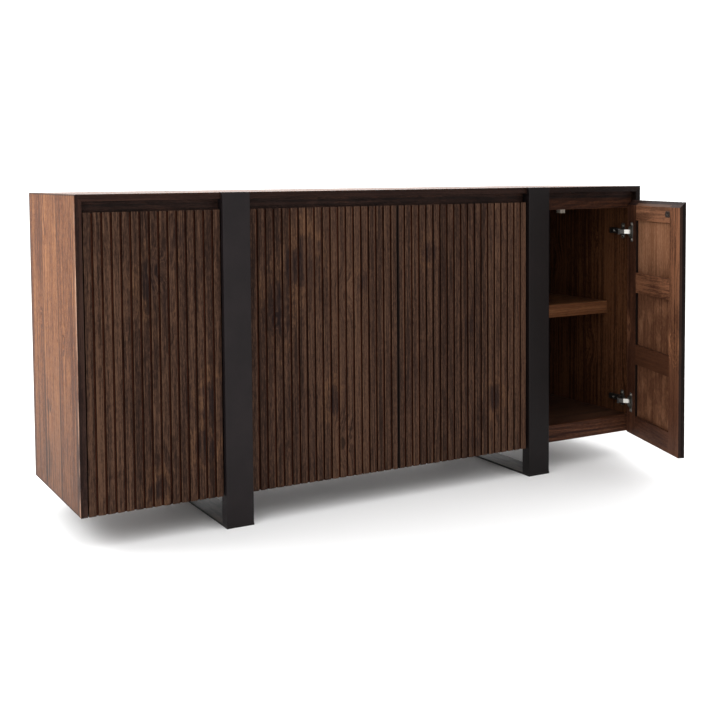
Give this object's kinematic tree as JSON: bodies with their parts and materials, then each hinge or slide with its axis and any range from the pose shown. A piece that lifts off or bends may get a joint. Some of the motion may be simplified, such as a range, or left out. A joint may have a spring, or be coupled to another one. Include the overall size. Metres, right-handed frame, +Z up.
{
  "type": "sideboard buffet",
  "caption": "Long wooden sideboard with hinged reeded doors, shelves inside and two welded steel leg frames that run up its front and back.",
  "frame": {"origin": "on the floor, under the middle of the case", "axes": "+X to the right seen from the front, +Y to the back, +Z up"},
  "size_m": [1.8, 0.7903, 0.868],
  "materials": {
    "case_wood": "stained and oiled solid hardwood, satin",
    "rail_wood": "dark stained hardwood, satin",
    "inside_wood": "stained hardwood, satin",
    "shelf_edge_wood": "oiled hardwood, satin",
    "reed_wood": "dark walnut stain over varied grain, satin",
    "door_frame_wood": "stained hardwood with knots, satin",
    "black_steel": "matte black powder coat",
    "bolt_steel": "zinc plated",
    "hinge_steel": "dark nickel plated",
    "bright_steel": "bright nickel plated",
    "strike_steel": "blackened steel",
    "catch_plastic": "pale moulded plastic"
  },
  "bodies": {
    "case": {"back_panel": "inside_wood", "bottom_panel": "inside_wood", "bottom_rail": "rail_wood", "dividers_left": "inside_wood", "dividers_right": "inside_wood", "floor_plate_left": "black_steel", "floor_plate_right": "black_steel", "front_upright_left": "black_steel", "front_upright_right": "black_steel", "hinge_arms": "hinge_steel", "hinge_mounting_plates": "hinge_steel", "hinge_pins": "bright_steel", "hinge_plate_screws": "bright_steel", "leg_bolts": "bolt_steel", "magnetic_catches": "catch_plastic", "mullions": "rail_wood", "rear_posts": "inside_wood", "rear_upright_left": "black_steel", "rear_upright_right": "black_steel", "shelf_centre": "inside_wood", "shelf_front_edges": "shelf_edge_wood", "shelf_left": "inside_wood", "shelf_pins": "bright_steel", "shelf_right": "inside_wood", "side_panel_left": "case_wood", "side_panel_right": "case_wood", "top_panel": "case_wood", "top_rail": "rail_wood"},
    "door_1": {"door_1_free_stile": "door_frame_wood", "door_1_front": "reed_wood", "door_1_hinge_cups": "hinge_steel", "door_1_hinge_stile": "door_frame_wood", "door_1_rails": "door_frame_wood", "door_1_screws": "bright_steel", "door_1_strike_plate": "strike_steel"},
    "links_1": {"door_1_hinge_links": "bright_steel"},
    "door_2": {"door_2_free_stile": "door_frame_wood", "door_2_front": "reed_wood", "door_2_hinge_cups": "hinge_steel", "door_2_hinge_stile": "door_frame_wood", "door_2_rails": "door_frame_wood", "door_2_screws": "bright_steel", "door_2_strike_plate": "strike_steel"},
    "links_2": {"door_2_hinge_links": "bright_steel"},
    "door_3": {"door_3_free_stile": "door_frame_wood", "door_3_front": "reed_wood", "door_3_hinge_cups": "hinge_steel", "door_3_hinge_stile": "door_frame_wood", "door_3_rails": "door_frame_wood", "door_3_screws": "bright_steel", "door_3_strike_plate": "strike_steel"},
    "links_3": {"door_3_hinge_links": "bright_steel"},
    "door_4": {"door_4_free_stile": "door_frame_wood", "door_4_front": "reed_wood", "door_4_hinge_cups": "hinge_steel", "door_4_hinge_stile": "door_frame_wood", "door_4_rails": "door_frame_wood", "door_4_screws": "bright_steel", "door_4_strike_plate": "strike_steel"},
    "links_4": {"door_4_hinge_links": "bright_steel"}
  },
  "joints": [
    {"name": "door_1_hinge", "type": "hinge", "parent": "case", "child": "door_1", "pos_m": [-0.875, -0.23, 0], "axis": [0, 0, -1], "range_deg": [0, 95]},
    {"name": "link_1_pivot", "type": "hinge", "parent": "case", "child": "links_1", "pos_m": [-0.837, -0.2045, 0], "axis": [0, 0, -1], "range_deg": [-41, 1]},
    {"name": "door_2_hinge", "type": "hinge", "parent": "case", "child": "door_2", "pos_m": [-0.442, -0.23, 0], "axis": [0, 0, -1], "range_deg": [0, 95]},
    {"name": "link_2_pivot", "type": "hinge", "parent": "case", "child": "links_2", "pos_m": [-0.404, -0.2045, 0], "axis": [0, 0, -1], "range_deg": [-41, 1]},
    {"name": "door_3_hinge", "type": "hinge", "parent": "case", "child": "door_3", "pos_m": [0.442, -0.23, 0], "axis": [0, 0, 1], "range_deg": [0, 95]},
    {"name": "link_3_pivot", "type": "hinge", "parent": "case", "child": "links_3", "pos_m": [0.404, -0.2045, 0], "axis": [0, 0, 1], "range_deg": [-41, 1]},
    {"name": "door_4_hinge", "type": "hinge", "parent": "case", "child": "door_4", "pos_m": [0.875, -0.23, 0], "axis": [0, 0, 1], "range_deg": [-71.5, 23.5]},
    {"name": "link_4_pivot", "type": "hinge", "parent": "case", "child": "links_4", "pos_m": [0.837, -0.2045, 0], "axis": [0, 0, 1], "range_deg": [-10, 31]}
  ],
  "couplings": [
    {"joint": "link_1_pivot", "follows": "door_1_hinge", "ratio": -0.425},
    {"joint": "link_2_pivot", "follows": "door_2_hinge", "ratio": -0.425},
    {"joint": "link_3_pivot", "follows": "door_3_hinge", "ratio": -0.425},
    {"joint": "link_4_pivot", "follows": "door_4_hinge", "ratio": -0.425}
  ]
}
